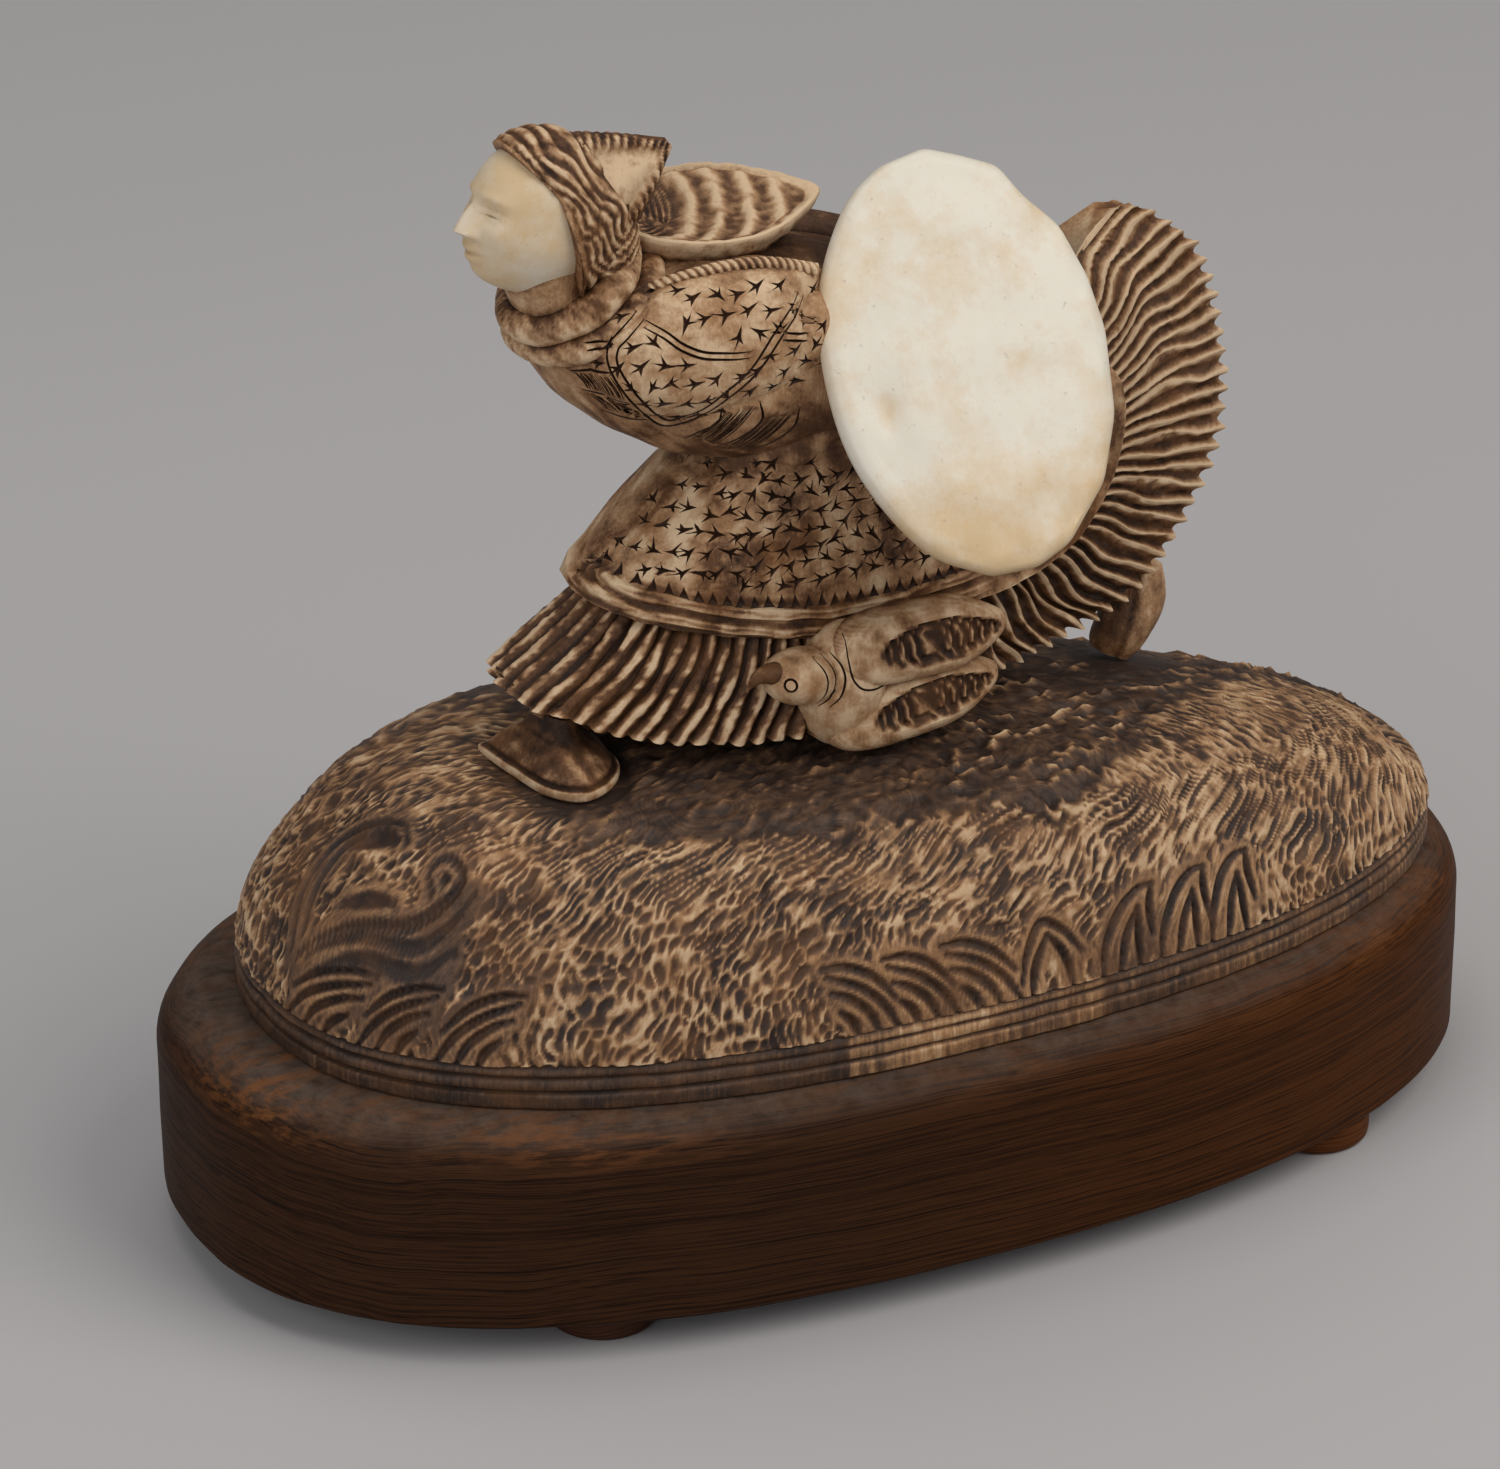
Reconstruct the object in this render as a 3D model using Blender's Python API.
# Carved shaman figure: a dancer with a drum and a flared robe, cut from one block,
# standing on a carved mound that is fixed to an oval wooden plinth with four small feet.
# Metres, +Z up. The origin lies on the ground under the middle of the plinth, +X runs along the
# plinth towards the raised side of the robe, and the dancer faces -X.
# Every size and place below is in millimetres; MM turns it into metres when a mesh is made.
import math

import bpy
import numpy as np

MM = 0.001
GAP = 0.3
# Heights are measured from a level this far above the ground
datum = 3.0

# Plinth and feet
plinth_half_length = 149.2
plinth_half_depth = 84.5
plinth_exponent = 2.34
plinth_bottom = 5.0
plinth_top = 50.0
plinth_top_round = 11.0
plinth_bottom_round = 1.5
foot_radius = 12.0
foot_left = -79.0
foot_right = 93.0
foot_y = 56.0

# Mound
mound_left = 131.0
mound_right = 143.0
mound_front = 75.5
mound_back = 80.0
mound_exponent = 2.29
mound_base = plinth_top + GAP
rim_height = 9.4
dome_height = 63.0
plateau_height = 102.5
plateau_fall = 0.055
plateau_blend = 6.0
groove_depth = 1.3
groove_half_width = 1.3

# Neighbouring faces within this many degrees count as one flat
flat_angle = 5.0

# Robe: the point that its folds run out from, and how far out the plain cloth ends
robe_centre = (-6.0, 172.0)
pleat_pitch = 4.4
pleat_depth = 2.0
pleat_swirl = 5.0
# How far the raised side's pleats lean along the hem between their roots and their ends
pleat_lean = 14.0

# Drum
drum_centre = (12.6, -42.0, 190.7)
drum_half_width = 31.0
drum_half_height = 45.0
drum_thickness = 5.5
drum_turn = -6.0
drum_lean = 35.0
# Corners of the hand-cut edge, in degrees round from +X, and the two that are cut in deeper
drum_corners = (3, 18, 34, 50, 61, 76, 90, 110, 134, 154, 173, 190, 206, 222, 240, 262, 281, 296,
                320, 340)
drum_cut_in = {50: 0.95, 76: 0.975}

# Head
head_centre = (-69.5, -11.0, 225.2)
head_half_depth = 14.5
head_half_width = 11.8
head_half_height = 15.8
head_lift = 17.0
head_turn = 4.0


def material(name, colour, roughness):
    made = bpy.data.materials.new(name)
    made.use_nodes = True
    shader = made.node_tree.nodes["Principled BSDF"]
    shader.inputs["Base Color"].default_value = (*colour, 1.0)
    shader.inputs["Roughness"].default_value = roughness
    shader.inputs["Metallic"].default_value = 0.0
    return made


def add_mesh(name, points, faces, surface=None, helper=False):
    mesh = bpy.data.meshes.new(name)
    mesh.from_pydata(((np.asarray(points) + (0.0, 0.0, datum)) * MM).tolist(), [], faces)
    mesh.validate()
    made = bpy.data.objects.new(name, mesh)
    bpy.context.scene.collection.objects.link(made)
    if surface:
        mesh.materials.append(surface)
    if helper:
        made.hide_render = True
        made.display_type = "WIRE"
    mesh.shade_smooth()
    mesh.set_sharp_from_angle(angle=math.radians(35.0))
    return made


def signed_volume(points, faces):
    total = 0.0
    for face in faces:
        first = points[face[0]]
        for left, right in zip(face[1:-1], face[2:]):
            total += np.dot(first, np.cross(points[left], points[right]))
    return total / 6.0


def loft(name, rings, surface=None, helper=True):
    # A closed body through rings of equal point count, with a fan at each end.
    rings = np.asarray(rings, float)
    rows, columns = rings.shape[:2]
    points = np.vstack([rings.reshape(-1, 3), rings[0].mean(axis=0), rings[-1].mean(axis=0)])
    faces = []
    for row in range(rows - 1):
        for column in range(columns):
            after = (column + 1) % columns
            low, high = row * columns, (row + 1) * columns
            faces.append((low + column, low + after, high + after, high + column))
    first, last = rows * columns, rows * columns + 1
    top = (rows - 1) * columns
    for column in range(columns):
        after = (column + 1) % columns
        faces.append((first, after, column))
        faces.append((last, top + column, top + after))
    if signed_volume(points, faces) < 0:
        faces = [face[::-1] for face in faces]
    return add_mesh(name, points, faces, surface, helper)


def path(points, count, closed=False, even=3):
    # A Catmull-Rom curve through the points, sampled at even steps of the first few coordinates.
    points = np.array(points, float)
    if closed:
        ends = np.vstack([points[-1:], points, points[:2]])
    else:
        ends = np.vstack([2 * points[0] - points[1], points, 2 * points[-1] - points[-2]])
    spans = len(ends) - 3
    place_on = np.linspace(0.0, spans, spans * 24 + 1)
    index = np.minimum(place_on.astype(int), spans - 1)
    t = (place_on - index)[:, None]
    a, b, c, d = ends[index], ends[index + 1], ends[index + 2], ends[index + 3]
    curve = 0.5 * (2 * b + (c - a) * t + (2 * a - 5 * b + 4 * c - d) * t**2
                   + (3 * b - a - 3 * c + d) * t**3)
    length = np.linalg.norm(np.diff(curve[:, :even], axis=0), axis=1)
    run = np.concatenate([[0.0], np.cumsum(length)])
    wanted = np.linspace(0.0, run[-1], count + 1 if closed else count)
    if closed:
        wanted = wanted[:-1]
    return np.stack([np.interp(wanted, run, column) for column in curve.T], axis=1)


def power(value, exponent):
    return np.sign(value) * np.abs(value) ** exponent


def bump(value, middle, width):
    return np.exp(-(((value - middle) / width) ** 2))


def smooth(value):
    value = np.clip(value, 0.0, 1.0)
    return value * value * (3.0 - 2.0 * value)


def direction(turn, lift):
    # Unit vector turned from -X towards -Y, then lifted.
    turn, lift = math.radians(turn), math.radians(lift)
    return np.array([-math.cos(turn) * math.cos(lift), -math.sin(turn) * math.cos(lift),
                     math.sin(lift)])


def ellipsoid(name, centre, axes, columns, rows, shape=None, behind=None):
    # Rings from one end of the first axis to the other. shape may move the unit-sphere points,
    # and behind the finished ones.
    across = np.linspace(0.0, math.pi, rows + 2)[1:-1]
    around = np.linspace(0.0, 2 * math.pi, columns, endpoint=False)
    a, b = np.meshgrid(across, around, indexing="ij")
    unit = np.stack([np.cos(a), np.sin(a) * np.cos(b), np.sin(a) * np.sin(b)], axis=-1)
    if shape:
        unit = shape(unit)
    rings = np.asarray(centre) + unit @ np.asarray(axes)
    return loft(name, behind(rings) if behind else rings)


def tube(name, route, radii, columns=12, flatten=1.0):
    # A limb along a route, with round sections of the given radii; flatten squashes them in Z.
    route = np.asarray(route, float)
    around = np.linspace(0.0, 2 * math.pi, columns, endpoint=False)
    forward = np.gradient(route, axis=0)
    rings = []
    for point, along, radius in zip(route, forward, radii):
        along = along / np.linalg.norm(along)
        side = np.cross(along, (0.0, 0.31, 0.95))
        side = side / np.linalg.norm(side)
        up = np.cross(side, along)
        ring = [point + radius * (math.cos(t) * side + flatten * math.sin(t) * up) for t in around]
        rings.append(ring)
    return loft(name, rings)


# --- Plinth and feet ---

def oval(half_length, half_depth, exponent, columns):
    t = np.linspace(0.0, 2 * math.pi, columns, endpoint=False)
    return np.stack([half_length * power(np.cos(t), 2 / exponent),
                     half_depth * power(np.sin(t), 2 / exponent)], axis=1)


def plinth_rings(columns=44):
    # Each step is how far the side is drawn in and its height.
    steps = [(plinth_bottom_round, plinth_bottom), (0.0, plinth_bottom + plinth_bottom_round)]
    for turn in np.linspace(0.0, 0.5 * math.pi, 4):
        inset = plinth_top_round * (1 - math.cos(turn))
        steps.append((inset, plinth_top - plinth_top_round * (1 - math.sin(turn))))
    rings = []
    for inset, height in steps:
        outline = oval(plinth_half_length - inset, plinth_half_depth - inset, plinth_exponent,
                       columns)
        rings.append(np.column_stack([outline, np.full(columns, height)]))
    return rings


def make_plinth(wood, rubbed_wood):
    loft("plinth", plinth_rings(), wood, helper=False)
    names = ("foot_left_front", "foot_right_front", "foot_left_back", "foot_right_back")
    turn = np.linspace(0.0, 2 * math.pi, 12, endpoint=False)
    for index, name in enumerate(names):
        x = foot_right if index % 2 else foot_left
        y = foot_y * (1 if index > 1 else -1)
        rings = []
        for radius, height in ((foot_radius - 1.0, -datum), (foot_radius, 1.0 - datum),
                               (foot_radius, plinth_bottom - GAP)):
            rings.append(np.column_stack([x + radius * np.cos(turn), y + radius * np.sin(turn),
                                          np.full(len(turn), height)]))
        loft(name, rings, rubbed_wood, helper=False)


# --- Mound ---

def mound_outline(t):
    x = power(np.cos(t), 2 / mound_exponent)
    y = power(np.sin(t), 2 / mound_exponent)
    return np.stack([np.where(x > 0, mound_right, mound_left) * x,
                     np.where(y > 0, mound_back, mound_front) * y], axis=-1)


def mound_height(x, y):
    # A leaning dome, blended into a nearly level place for the dancer.
    across = np.where(x > 0, mound_right, mound_left)
    along = np.where(y > 0, mound_back, mound_front)
    reach = (np.abs(x / across) ** mound_exponent + np.abs(y / along) ** mound_exponent)
    reach = np.clip(reach, 0.0, 1.0) ** (1 / mound_exponent)
    lean = 1 - 0.47 * x / 135.0 - 0.44 * y / 70.0
    dome = mound_base + rim_height + dome_height * (1 - reach**1.72) ** 0.633 * lean
    flat = plateau_height - plateau_fall * x
    return -plateau_blend * np.log(np.exp(-dome / plateau_blend) + np.exp(-flat / plateau_blend))


def mound_rings(columns=40):
    outline = mound_outline(np.linspace(0.0, 2 * math.pi, columns, endpoint=False))
    rings = []
    rim = ((0.0, 0.0), (0.0, 2.2), (1.0, 2.9), (0.0, 3.6), (0.0, 6.0), (1.0, 6.7), (0.2, 7.4),
           (0.5, rim_height))
    for inset, height in rim:
        scale = 1 - inset / 90.0
        rings.append(np.column_stack([outline * scale, np.full(columns, mound_base + height)]))
    for scale in (0.975, 0.94, 0.88, 0.80, 0.70, 0.57, 0.42, 0.22):
        spot = outline * scale
        rings.append(np.column_stack([spot, mound_height(spot[:, 0], spot[:, 1])]))
    return rings


def groove(name, route, width=groove_half_width, depth=groove_depth):
    # A V-shaped cutter that follows the mound's surface and comes to a point at both ends.
    count = len(route)
    x, y = route[:, 0], route[:, 1]
    z = mound_height(x, y)
    step = 0.5
    slope_x = (mound_height(x + step, y) - mound_height(x - step, y)) / (2 * step)
    slope_y = (mound_height(x, y + step) - mound_height(x, y - step)) / (2 * step)
    up = np.stack([-slope_x, -slope_y, np.ones(count)], axis=1)
    up /= np.linalg.norm(up, axis=1, keepdims=True)
    spine = np.stack([x, y, z], axis=1)
    along = np.gradient(spine, axis=0)
    side = np.cross(along, up)
    side /= np.linalg.norm(side, axis=1, keepdims=True)
    swell = np.sin(np.linspace(0.12, math.pi - 0.12, count))[:, None] ** 0.6
    rings = np.stack([spine - up * depth * swell,
                      spine + side * width * 1.9 * swell + up * depth * 0.9,
                      spine - side * width * 1.9 * swell + up * depth * 0.9], axis=1)
    return loft(name, rings)


def blade_routes():
    # Grass along the front right of the rim, curled leaves round the left end, reeds at the right.
    routes = []
    for turn in np.arange(-101.0, -61.0, 3.9):
        t = np.radians([turn, turn + 0.6, turn + 2.4, turn + 5.6])
        routes.append(mound_outline(t) * np.array([0.982, 0.945, 0.905, 0.885])[:, None])
    for turn in np.arange(-178.0, -134.0, 7.6):
        t = np.radians([turn, turn + 1.5, turn + 5.0, turn + 8.5])
        routes.append(mound_outline(t) * np.array([0.98, 0.935, 0.915, 0.945])[:, None])
    for turn in (-20.0, -14.0, -8.0):
        t = np.radians([turn, turn + 0.5, turn + 3.0])
        routes.append(mound_outline(t) * np.array([0.98, 0.95, 0.93])[:, None])
    return routes


def scroll_routes():
    # Two long stems that rise up the left slope and curl over.
    stem = ((-123.0, 12.0), (-112.0, 14.0), (-98.0, 12.0), (-90.0, 4.0), (-95.0, -2.0))
    leaf = ((-124.0, 4.0), (-114.0, -6.0), (-106.0, -16.0), (-93.0, -20.0), (-88.0, -12.0))
    return [path(stem, 7, even=2), path(leaf, 7, even=2)]


def standing_pads():
    # Level places that the two boots stand on.
    pads = []
    turn = np.linspace(0.0, 2 * math.pi, 16, endpoint=False)
    for name, x, y, floor, across, deep in (("pad_front", -69.0, -17.5, 103.4, 14.0, 17.5),
                                            ("pad_back", 71.5, -3.0, 96.2, 10.0, 8.0)):
        rings = [np.column_stack([x + across * grow * np.cos(turn), y + deep * grow * np.sin(turn),
                                  np.full(len(turn), floor + rise)])
                 for grow, rise in ((1.0, 0.0), (1.25, 2.5), (1.8, 14.0))]
        pads.append(loft(name, rings))
    return pads


def make_mound(stained_bone):
    mound = loft("carved_mound", mound_rings(), stained_bone, helper=False)
    cutters = standing_pads()
    for number, route in enumerate(blade_routes()):
        cutters.append(groove(f"blade_{number}", path(route, 4, even=2)))
    for number, route in enumerate(scroll_routes()):
        cutters.append(groove(f"scroll_{number}", route, 1.6, 1.5))
    combine(mound, cutters, "DIFFERENCE")
    clean(mound)


# --- The figure's forms ---

def robe_point(edge, reach, grow=0.0):
    # A place on the line from the robe's centre to an edge place (x, z, y); y draws in above.
    x, z, y = edge.T
    share = reach + grow
    out = 0.75 + 0.25 * smooth((reach - 0.54) / 0.44)
    return np.stack([robe_centre[0] + (x - robe_centre[0]) * share, (y + 5.0) * out - 5.0,
                     robe_centre[1] + (z - robe_centre[1]) * share], axis=1)


def robe_normal(edge, tangent):
    outward = np.column_stack([edge[:, 0] - robe_centre[0], np.zeros(len(edge)),
                               edge[:, 1] - robe_centre[1]])
    normal = np.cross(outward, tangent)
    return normal / np.linalg.norm(normal, axis=1, keepdims=True)


def robe_skirt():
    # The lower front: a closed bell with pleats on the near side and plain cloth behind.
    near = path(((-77.5, 121.0, 3.0), (-79.0, 120.5, -4.0), (-79.0, 120.0, -12.0),
                 (-76.0, 119.3, -20.0), (-68.5, 117.4, -26.5), (-57.0, 113.6, -31.0),
                 (-40.5, 110.4, -34.0), (-22.5, 109.0, -35.0), (-5.0, 108.0, -34.5),
                 (6.0, 108.0, -33.0)), 2 * int(112.0 / pleat_pitch) + 1)
    back = path(((20.0, 111.0, -20.0), (20.0, 112.0, 2.0), (4.0, 110.0, 12.0),
                 (-20.0, 110.5, 20.0), (-45.0, 112.5, 20.0), (-62.0, 116.0, 16.0),
                 (-73.0, 119.5, 9.5)), 9)
    edge = np.vstack([near, back])
    ridge = np.concatenate([np.where(np.arange(len(near)) % 2 == 0, 1.0, -1.0),
                            np.zeros(len(back))])
    share = np.concatenate([np.linspace(0.0, 1.0, len(near)), np.ones(len(back))])
    swirl = 0.45 * pleat_swirl * smooth(share / 0.2) * smooth((1.0 - share) / 0.2)
    spine = edge[:, [0, 2, 1]]
    tangent = np.roll(spine, -1, axis=0) - np.roll(spine, 1, axis=0)
    tangent /= np.linalg.norm(tangent, axis=1, keepdims=True)
    normal = robe_normal(edge, tangent)
    rings = []
    for reach, slide, height in ((0.57, 0.0, 0.0), (0.78, 0.9, 0.9), (0.985, 0.7, 1.1)):
        grow = 0.014 * ridge * height * (reach > 0.95)
        rings.append(robe_point(edge, reach, grow) + tangent * (swirl * slide)[:, None]
                     + normal * (ridge * height * pleat_depth / 2)[:, None])
    under = np.array([-25.0, -4.0, 0.0])
    rings.append(under + (rings[-1] - under) * (0.75, 0.75, 1.0) + (0.0, 0.0, 2.0))
    return loft("robe_skirt", rings)


def robe_fan():
    # The raised side: a pleated sheet with an open hem. Each pleat is a ridge and a valley.
    hem = path(((-5.0, 108.0, -34.5, 14.0), (10.0, 108.0, -32.0, 6.0), (28.0, 110.0, -28.0, -4.0),
                (49.5, 112.5, -22.0, -12.0), (65.0, 115.8, -18.5, -11.5),
                (78.0, 126.5, -16.0, -10.0), (88.0, 144.0, -15.0, -9.0),
                (91.0, 158.0, -14.0, -8.0), (89.5, 175.0, -13.0, -7.0),
                (84.0, 192.5, -12.0, -6.0), (76.0, 200.0, -11.0, -5.0),
                (70.5, 203.2, -9.8, -4.2), (65.0, 203.4, -8.6, -3.6)), 200)
    run = np.concatenate([[0.0], np.cumsum(np.linalg.norm(np.diff(hem[:, :2], axis=0), axis=1))])
    spots = np.linspace(0.0, run[-1], 2 * int(run[-1] / pleat_pitch) + 1)
    ridge = np.where(np.arange(len(spots)) % 2 == 0, 1.0, -1.0)
    share = spots / run[-1]
    lean = pleat_lean * smooth((share - 0.25) / 0.65) - 2.0 * smooth(share / 0.1)
    # Reach from the centre, near side 0 or far side 1, share of the lean left, pleat height
    section = ((0.57, 0.0, 1.0, 0.0), (0.76, 0.0, 0.25, 1.0), (0.985, 0.0, 0.0, 1.1),
               (0.90, 0.5, 0.0, 0.0), (0.965, 1.0, 0.0, 0.8), (0.53, 1.0, 1.0, 0.0))
    rings = []
    for reach, side, left, height in section:
        x, z, near, far = (np.interp(spots - lean * left, run, column) for column in hem.T)
        out = smooth((reach - 0.54) / 0.44)
        near_y = -27.0 + (near + 27.0) * out
        y = near_y + (-4.0 + (far + 4.0) * out - near_y) * side
        y = y + (side - 0.5) * ridge * height * pleat_depth
        grow = reach + ridge * height * (0.012 if reach > 0.95 else 0.0)
        rings.append(np.stack([robe_centre[0] + (x - robe_centre[0]) * grow, y,
                               robe_centre[1] + (z - robe_centre[1]) * grow], axis=1))
    return loft("robe_fan", np.stack(rings, axis=1))


def robe_body():
    # The plain cloth from the waist to the fringe, with two raised bands along the lower front.
    edge = path(((-32.5, 165.5), (-39.5, 159.5), (-47.0, 153.5), (-54.5, 147.0), (-61.5, 140.3),
                 (-54.0, 137.0), (-40.0, 133.5), (-24.0, 130.5), (-6.0, 128.5), (12.0, 129.5),
                 (30.0, 132.0), (45.0, 140.0), (54.0, 155.0), (55.0, 172.0), (48.0, 184.0),
                 (34.0, 190.0), (10.0, 190.0), (-15.0, 186.0), (-31.0, 177.0)), 38, closed=True)
    offset = edge - np.array(robe_centre)
    front = smooth((-offset[:, 1] - 24.0) / 7.0) * smooth((26.0 - edge[:, 0]) / 10.0)
    spread = np.maximum(smooth((6.0 - offset[:, 1]) / 12.0), smooth((edge[:, 0] - 20.0) / 20.0)
                        * smooth((185.0 - edge[:, 1]) / 12.0))
    middle, near_deep, far_deep = -5.0, 24.0, 20.0
    # Reach towards the edge and the height of a band there
    rings = []
    for reach, band in ((0.30, 0.0), (0.52, 0.0), (0.71, 0.0), (0.86, 0.0), (0.88, 1.2), (0.915, 1.2),
                        (0.93, 0.0), (0.945, 1.2), (0.975, 1.2), (0.99, 0.0)):
        x, z = robe_centre[0] + offset[:, 0] * reach, robe_centre[1] + offset[:, 1] * reach
        rounded = near_deep * np.sqrt(1 - reach**6)
        flared = near_deep - 2.0 + 4.5 * reach - 2.0 * (reach > 0.98)
        deep = (rounded + (flared - rounded) * spread) * robe_round(x, z)
        grow = 1 + 0.012 * band * front * (1 - robe_round(x, z))
        rings.append(np.stack([robe_centre[0] + (x - robe_centre[0]) * grow,
                               middle - deep - band * front,
                               robe_centre[1] + (z - robe_centre[1]) * grow], axis=1))
    for reach in (1.0, 0.90, 0.60):
        x, z = robe_centre[0] + offset[:, 0] * reach, robe_centre[1] + offset[:, 1] * reach
        y = middle + far_deep * math.sqrt(1 - reach**2)
        y = y - 6.0 * spread * robe_round(x, z) * (reach == 1.0)
        rings.append(np.stack([x, y, z], axis=1))
    return loft("robe_body", rings)


def robe_round(x, z):
    # 1 over the near side, falling to 0 at the robe's front line, so level sections are oval.
    line = np.interp(z, (128.5, 140.3, 147.0, 153.5, 159.5, 165.5, 177.0),
                     (-73.0, -61.5, -54.5, -47.0, -39.5, -32.5, -31.0))
    share = np.clip((-12.0 - x) / (-12.0 - line), 0.0, 1.0)
    return np.sqrt(1 - share**2)


def torso():
    # Upright oval sections from the throat to the hip: x, middle z, half height, half depth.
    rows = path(((-74.0, 204.0, 3.0, 3.0), (-69.5, 200.5, 8.0, 9.0), (-62.5, 196.0, 13.0, 15.0),
                 (-52.0, 192.5, 18.0, 20.5), (-38.0, 189.5, 22.0, 24.0), (-24.0, 187.5, 23.0, 25.5),
                 (-8.0, 186.0, 22.0, 25.0), (8.0, 185.0, 17.0, 22.0), (18.0, 184.0, 8.0, 12.0)),
                11, even=2)
    t = np.linspace(0.0, 2 * math.pi, 18, endpoint=False)
    rings = [np.stack([np.full(18, x), -7.0 + deep * np.cos(t), z + high * np.sin(t)], axis=1)
             for x, z, high, deep in rows]
    return loft("torso", rings)


def near_arm():
    # The upper arm in its wide sleeve, then the forearm that reaches behind the drum.
    axes = np.array([[27.5, -2.2, -1.1], [0.6, -10.5, 2.0], [6.0, 3.0, 15.0]])
    sleeve = ellipsoid("near_sleeve", (-34.5, -23.2, 197.4), axes, 16, 9, behind=behind_drum)
    forearm = tube("near_forearm", ((-32.0, -20.0, 197.0), (-18.0, -24.0, 196.5),
                                    (-3.0, -27.5, 193.5)), (8.5, 9.5, 8.0), 14)
    return [sleeve, forearm]


def far_arm():
    return tube("far_arm", ((-28.0, 8.0, 203.0), (-14.0, 9.0, 204.0), (0.0, 7.0, 202.5),
                            (14.0, 0.0, 199.0), (24.0, -8.0, 194.0)), (8.0, 7.0, 5.5, 5.0, 4.5))


def head_frame():
    forward = direction(head_turn, head_lift)
    side = np.cross((0.0, 0.0, 1.0), forward)
    side = side / np.linalg.norm(side)
    return forward, side, np.cross(forward, side)


def face_relief(across, height):
    # How far the face stands out from the plain oval, in millimetres. Height runs from the chin
    # at -1 to the crown at 1: eyes at the middle, nose and mouth at even steps below.
    eye, nose_tip, mouth, chin = 0.02, -0.34, -0.55, -0.86
    side = np.abs(across)
    bridge = smooth((height - nose_tip + 0.03) / 0.06) * smooth((eye + 0.22 - height) / 0.3)
    fall = np.clip((eye + 0.2 - height) / (eye + 0.2 - nose_tip), 0.0, 1.0)
    relief = 3.6 * bridge * fall * bump(across, 0.0, 1.5 + 1.0 * fall)
    relief += 0.9 * bump(side, 2.3, 1.0) * bump(height, nose_tip + 0.04, 0.07)
    relief -= 1.7 * bump(side, 4.4, 2.5) * bump(height, eye + 0.02, 0.13)
    relief += 0.9 * bump(side, 4.4, 1.8) * bump(height, eye, 0.06)
    relief += 0.7 * bump(side, 4.4, 3.4) * bump(height, eye + 0.2, 0.08)
    relief += 1.0 * bump(across, 0.0, 3.4) * bump(height, mouth + 0.06, 0.055)
    relief += 1.0 * bump(across, 0.0, 2.8) * bump(height, mouth - 0.075, 0.055)
    relief += 1.5 * bump(across, 0.0, 3.6) * bump(height, chin, 0.16)
    relief += 0.7 * bump(side, 7.0, 2.8) * bump(height, nose_tip + 0.12, 0.2)
    return relief


def head():
    forward, side, up = head_frame()
    heights = np.concatenate([np.linspace(-0.97, 0.30, 15), np.linspace(0.6, 0.95, 2)])
    spread = np.linspace(-1.0, 1.0, 21)[:-1]
    around = math.pi * (0.36 * spread + 0.64 * spread**3)
    rings = []
    for height in heights:
        jaw = 1.0 - 0.20 * smooth((-height - 0.15) / 0.85)
        round_in = math.sqrt(1 - abs(height) ** 2.6)
        across = head_half_width * jaw * round_in * np.sin(around)
        deep = head_half_depth * round_in * np.cos(around)
        front = np.clip(np.cos(around), 0.0, 1.0) ** 0.5
        deep = deep + front * face_relief(across, np.full(len(around), height)) * round_in**0.3
        ring = (np.array(head_centre) + deep[:, None] * forward + across[:, None] * side
                + height * head_half_height * up)
        rings.append(ring)
    return loft("head", rings)


def hat():
    # A fur cap with a flap over the nape and one stiff pointed corner behind.
    forward, side, up = head_frame()

    def shape(unit):
        # Fourteen locks, and a blunt front that slopes back from the forehead to the jaw.
        turn = np.arctan2(unit[..., 2], unit[..., 1])
        lock = 0.055 * np.cos(14.0 * turn) * smooth((0.9 - np.abs(unit[..., 0])) / 0.3)
        unit = unit * (1.0 + lock)[..., None]
        unit[..., 0] = np.minimum(unit[..., 0], 0.18 + 0.70 * unit[..., 2])
        return unit
    centre = np.array(head_centre) - 4.5 * forward + 0.5 * up
    axes = np.array([forward * 15.5, side * 13.6, up * 17.4])
    cap = ellipsoid("hat", centre, axes, 28, 8, shape)
    flap = ellipsoid("hat_flap", (-56.5, -11.0, 217.5),
                     ((8.5, 0.0, -2.0), (0.0, 9.0, 0.0), (2.0, 0.0, 11.0)), 14, 6)
    t = np.linspace(0.0, 2 * math.pi, 16, endpoint=False)
    rings = []
    corner = path(((-67.0, -11.0, 228.5, 10.0, 11.5), (-58.0, -11.5, 228.5, 13.0, 10.5),
                   (-48.5, -12.0, 232.0, 8.0, 6.0), (-40.6, -12.0, 236.0, 1.5, 1.2)), 6)
    for x, y, z, high, deep in corner:
        keel = 1.0 - 0.18 * np.sin(2 * t) ** 2
        rings.append(np.stack([np.full(16, x) - 4.0 * np.sin(t) * high / 11.0,
                               y + deep * keel * np.cos(t), z + high * keel * np.sin(t)], axis=1))
    return [cap, flap, loft("hat_corner", rings)]


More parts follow.
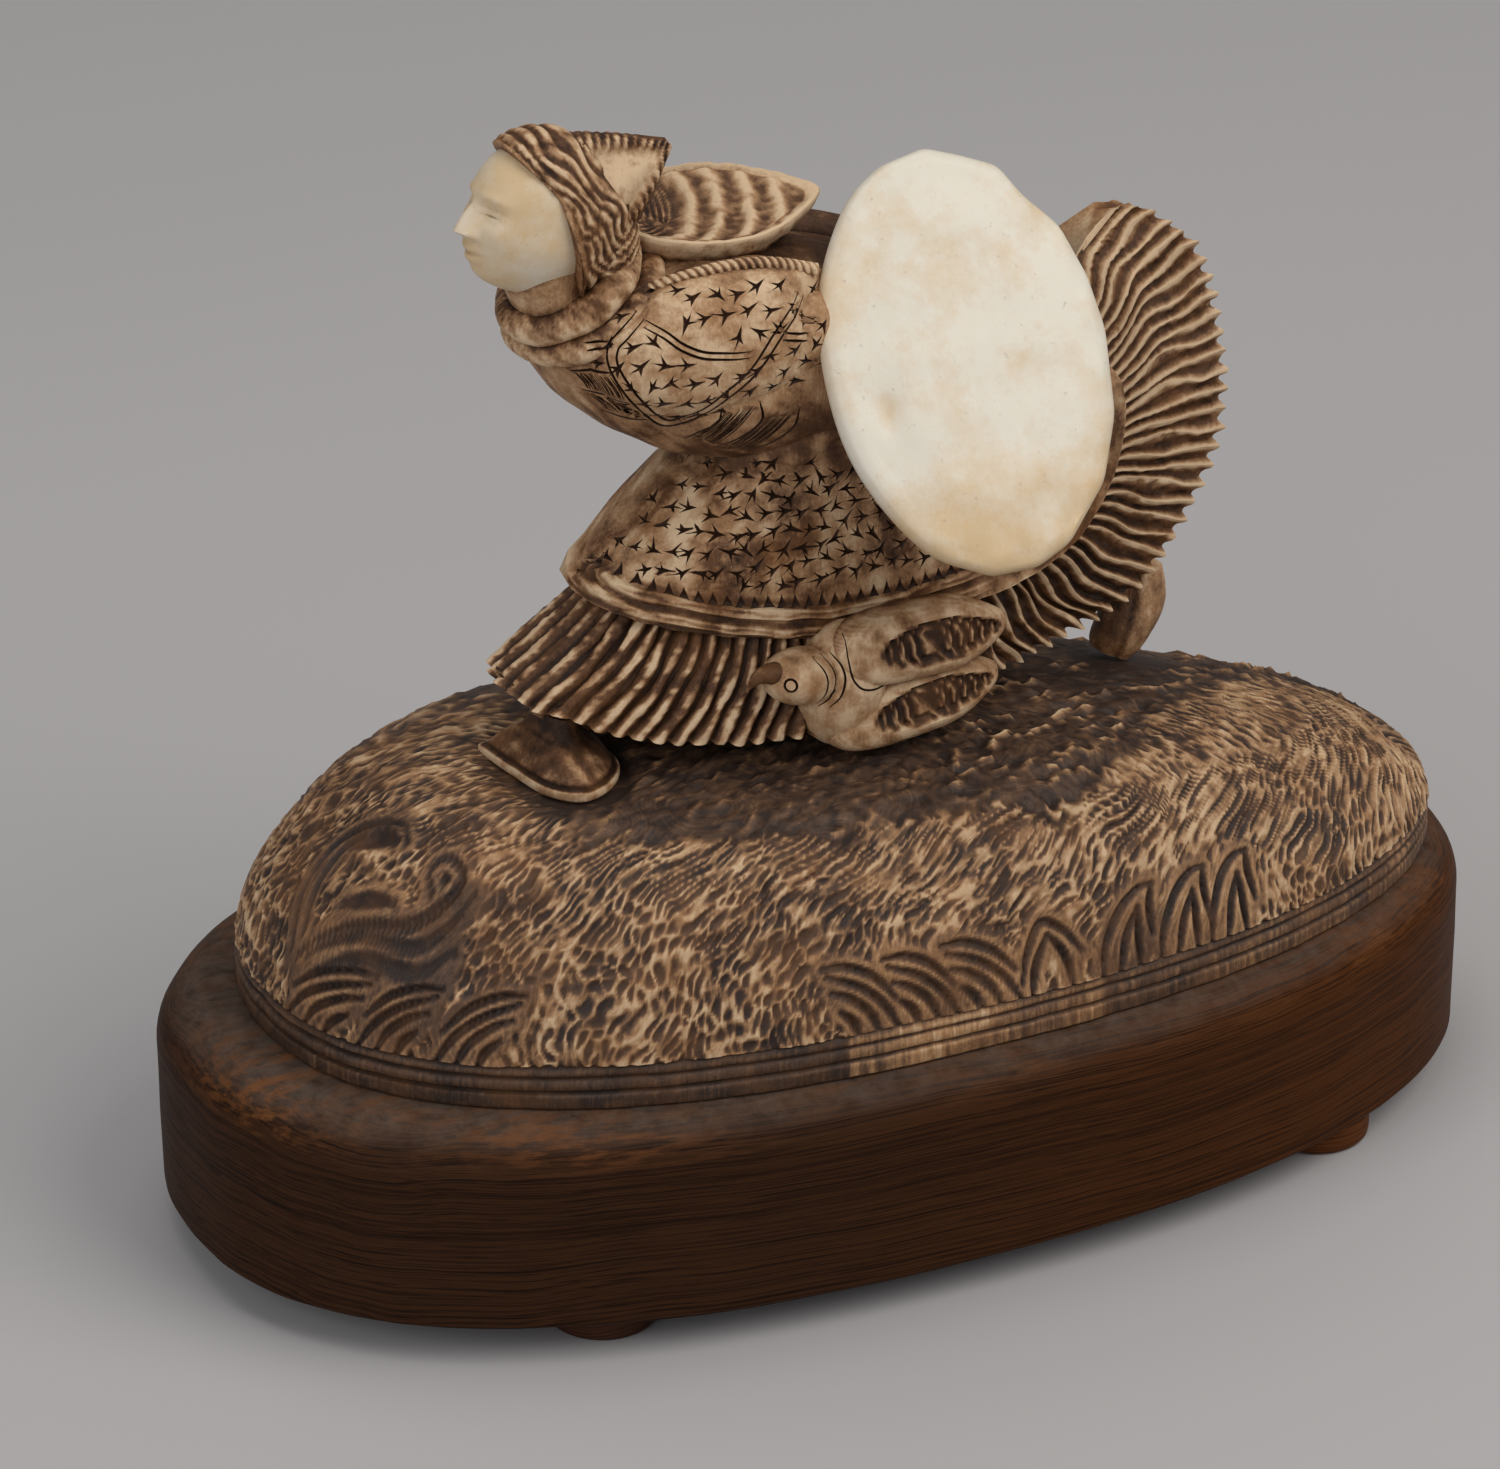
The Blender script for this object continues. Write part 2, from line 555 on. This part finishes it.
def collar():
    # The throat and two rolled folds of the collar, each a loop that dips at the front.
    throat = tube("throat", ((-68.5, -10.5, 216.0), (-65.0, -9.5, 206.0), (-59.0, -8.0, 196.0)),
                  (9.0, 8.5, 10.0), 16)
    folds = []
    for number, (loop, roll) in enumerate((
            (((-73.5, -9.0, 203.5), (-70.0, -16.0, 202.8), (-62.5, -20.0, 206.0),
              (-56.0, -19.0, 210.5), (-50.0, -11.0, 214.5), (-53.0, 0.0, 214.0),
              (-61.0, 4.0, 209.5), (-69.5, 0.0, 205.5)), 3.3),
            (((-72.0, -8.0, 198.5), (-67.0, -17.0, 197.5), (-60.0, -21.5, 200.5),
              (-52.0, -21.0, 205.5), (-45.0, -12.0, 210.5), (-48.0, 1.0, 210.0),
              (-57.0, 6.0, 205.5), (-67.5, 2.0, 200.5)), 3.0))):
        spine = path(loop, 18, closed=True)
        outward = spine - spine.mean(axis=0)
        outward /= np.linalg.norm(outward, axis=1, keepdims=True)
        rise_way = np.array([-0.5, 0.0, 0.87])
        rings = [spine + roll * (out * outward + rise * rise_way)
                 for out, rise in ((-1.2, -1.0), (0.35, -0.95), (1.0, 0.0), (0.35, 0.95), (-1.2, 1.0))]
        folds.append(loft(f"collar_{number}", rings))
    return [throat] + folds


def hood():
    # The hood thrown back: a shallow dish with rings cut in it, drawn out to a point behind.
    middle = np.array([-28.0, -5.5, 219.2])
    along = np.array([0.985, 0.0, -0.10])
    tilt = math.radians(17.0)
    back = np.array([0.0, math.cos(tilt), math.sin(tilt)])
    up = np.cross(along, back)
    t = np.linspace(0.0, 2 * math.pi, 24, endpoint=False)
    point = 1.0 + 0.10 * np.clip(np.cos(t), 0.0, 1.0) ** 6
    narrow = 1.0 - 0.28 * np.clip(np.cos(t), 0.0, 1.0) ** 2
    # Reach, slide towards the head, and height above the rim
    steps = ((0.50, 0.0, -13.0), (0.84, 0.0, -7.0), (0.98, 0.0, -2.6), (1.0, 0.0, -0.6),
             (0.93, 0.0, 0.0), (0.86, -0.6, -1.4), (0.74, -2.2, -1.0), (0.66, -3.0, -2.4),
             (0.54, -4.6, -2.0), (0.44, -5.6, -3.8), (0.18, -6.5, -4.6))
    rings = []
    for reach, slide, height in steps:
        x = (22.5 * reach * np.cos(t) * point + slide)[:, None]
        y = (13.5 * reach * np.sin(t) * narrow)[:, None]
        rings.append(middle + x * along + y * back + height * up)
    return loft("hood", rings)


def drum_axes():
    # The face's own normal, level and upward directions
    turn, lean = math.radians(drum_turn), math.radians(drum_lean)
    normal = np.array([math.sin(turn) * math.cos(lean), -math.cos(turn) * math.cos(lean),
                       math.sin(lean)])
    across = np.cross(normal, (0.0, 0.0, 1.0))
    across = across / -np.linalg.norm(across)
    up = np.cross(normal, across)
    return normal, across, up if up[2] > 0 else -up


def drum():
    # An oval skin-covered frame: flats cut by hand round the edge and a bevel round the face.
    normal, across, up = drum_axes()
    t = np.radians(drum_corners)
    cut = np.array([drum_cut_in.get(corner, 1.0) for corner in drum_corners])
    rings = []
    for inset, lift in ((4.0, -1.0), (1.2, -0.9), (0.0, -0.45), (0.8, 0.0), (5.0, 0.25),
                        (16.0, 0.35)):
        x = (drum_half_width - inset) * cut * np.cos(t)
        z = (drum_half_height - inset) * cut * np.sin(t)
        rings.append(np.array(drum_centre) + x[:, None] * across + z[:, None] * up
                     + normal * drum_thickness * lift)
    return loft("drum", rings)


def behind_drum(points):
    # Draws what would stand in front of the drum back, to the middle of its edge at the outline
    # and less and less further out.
    normal, across, up = drum_axes()
    offset = points - np.array(drum_centre)
    reach = np.hypot(offset @ across / drum_half_width, offset @ up / drum_half_height)
    limit = 28.0 * np.maximum(reach - 0.98, 0.0) - 0.6 * drum_thickness
    return points - np.maximum(offset @ normal - limit, 0.0)[..., None] * normal


def bird():
    # A bird in relief on the hem: a head with a hooked beak, a full breast and two folded wings.
    beak = tube("bird_beak", ((-28.0, -36.0, 128.5), (-32.5, -37.0, 131.0), (-35.5, -37.0, 130.5),
                              (-37.0, -36.5, 127.8)), (4.5, 2.8, 1.8, 0.5), 8)
    crown = ellipsoid("bird_head", (-24.0, -36.0, 126.0),
                      ((10.5, 0.0, -0.8), (0.0, 6.8, 0.0), (0.5, 0.0, 8.2)), 14, 6)
    breast = ellipsoid("bird_breast", (-12.0, -34.0, 119.5),
                       ((10.0, 0.0, -1.0), (0.0, 8.4, 0.0), (1.5, 0.0, 14.5)), 14, 6)
    wings = []
    for number, (centre, tip, high) in enumerate((((4.5, -35.5, 127.0), -0.8, 8.0),
                                                  ((3.5, -34.5, 112.8), 1.5, 8.0))):
        axes = ((21.0, 2.2, tip), (0.6, -6.2, 0.8), (0.0, 1.2, high))
        wings.append(ellipsoid(f"bird_wing_{number}", centre, axes, 14, 7,
                               lambda unit: power(unit, 0.66)))
    return [beak, crown, breast] + wings


def bird_panels():
    # The hollow oval in each wing, cut about two millimetres deep.
    panels = []
    for number, centre in enumerate(((6.5, -42.6, 127.2), (5.5, -41.6, 113.4))):
        axes = ((14.0, 1.5, 0.0), (0.0, 3.4, 0.0), (0.0, 0.0, 4.8))
        panels.append(ellipsoid(f"bird_panel_{number}", centre, axes, 12, 5,
                                lambda unit: power(unit, 0.75)))
    return panels


def front_leg():
    # A leg from under the robe into a soft boot with a flat sole and a ridge up the instep.
    shin = tube("front_shin", ((-40.0, -6.0, 146.0), (-56.0, -10.0, 126.0), (-68.0, -13.0, 112.0)),
                (12.0, 8.0, 6.5))
    sole = path(((-77.5, -3.0), (-79.5, -14.0), (-77.5, -27.0), (-71.0, -33.0), (-62.5, -29.0),
                 (-57.5, -20.0), (-60.0, -8.0), (-68.0, -3.0)), 16, closed=True)
    middle = np.array([-68.0, -15.0])
    rings = []
    for reach, height in ((0.93, 103.5), (1.0, 104.5), (0.97, 106.4), (0.86, 107.0), (0.70, 110.0),
                          (0.45, 113.0), (0.30, 117.0)):
        spot = middle + (sole - middle) * reach
        rings.append(np.column_stack([spot, np.full(len(sole), height)]))
    return [shin, loft("front_boot", rings)]


def back_leg():
    # The trailing leg comes out behind the hem and stands on its toe.
    shin = tube("back_shin", ((30.0, 2.0, 150.0), (55.0, 2.0, 130.0), (73.5, 1.0, 116.0)),
                (12.0, 9.0, 6.3))
    boot = tube("back_boot", ((77.0, -1.0, 115.0), (76.0, -1.5, 108.0), (72.5, -2.5, 102.5),
                              (69.5, -3.0, 98.5), (68.5, -3.0, 96.5)), (4.8, 6.4, 6.3, 5.0, 3.6), 12)
    return [shin, boot]


# --- Joining ---

def combine(target, parts, operation, solver="EXACT"):
    # Boolean all the parts with the target, live, so that the forms stay editable.
    group = bpy.data.collections.new(target.name + "_forms")
    for part in parts:
        group.objects.link(part)
    modifier = target.modifiers.new(operation.title(), "BOOLEAN")
    modifier.operation = operation
    modifier.operand_type = "COLLECTION"
    modifier.collection = group
    modifier.solver = solver


def clean(target):
    # Joins the slivers that the unions leave on flat faces.
    modifier = target.modifiers.new("Flats", "DECIMATE")
    modifier.decimate_type = "DISSOLVE"
    modifier.angle_limit = math.radians(flat_angle)


def make_figure(pale_bone):
    body = robe_body()
    forms = [robe_skirt(), robe_fan(), torso(), far_arm(), head(), hood(), drum()]
    for group in (near_arm(), hat(), collar(), bird(), front_leg(), back_leg()):
        forms.extend(group)
    body.name = "carved_figure"
    body.data.materials.append(pale_bone)
    body.hide_render = False
    body.display_type = "TEXTURED"
    combine(body, forms, "UNION", "MANIFOLD")
    combine(body, bird_panels(), "DIFFERENCE", "MANIFOLD")
    clean(body)


for old in list(bpy.data.objects):
    bpy.data.objects.remove(old, do_unlink=True)
dark_wood = material("stained_wood", (0.07, 0.035, 0.02), 0.55)
foot_wood = material("foot_wood", (0.10, 0.045, 0.03), 0.6)
stained = material("stained_bone", (0.30, 0.20, 0.12), 0.6)
pale = material("pale_bone", (0.62, 0.50, 0.36), 0.45)
make_plinth(dark_wood, foot_wood)
make_mound(stained)
make_figure(pale)
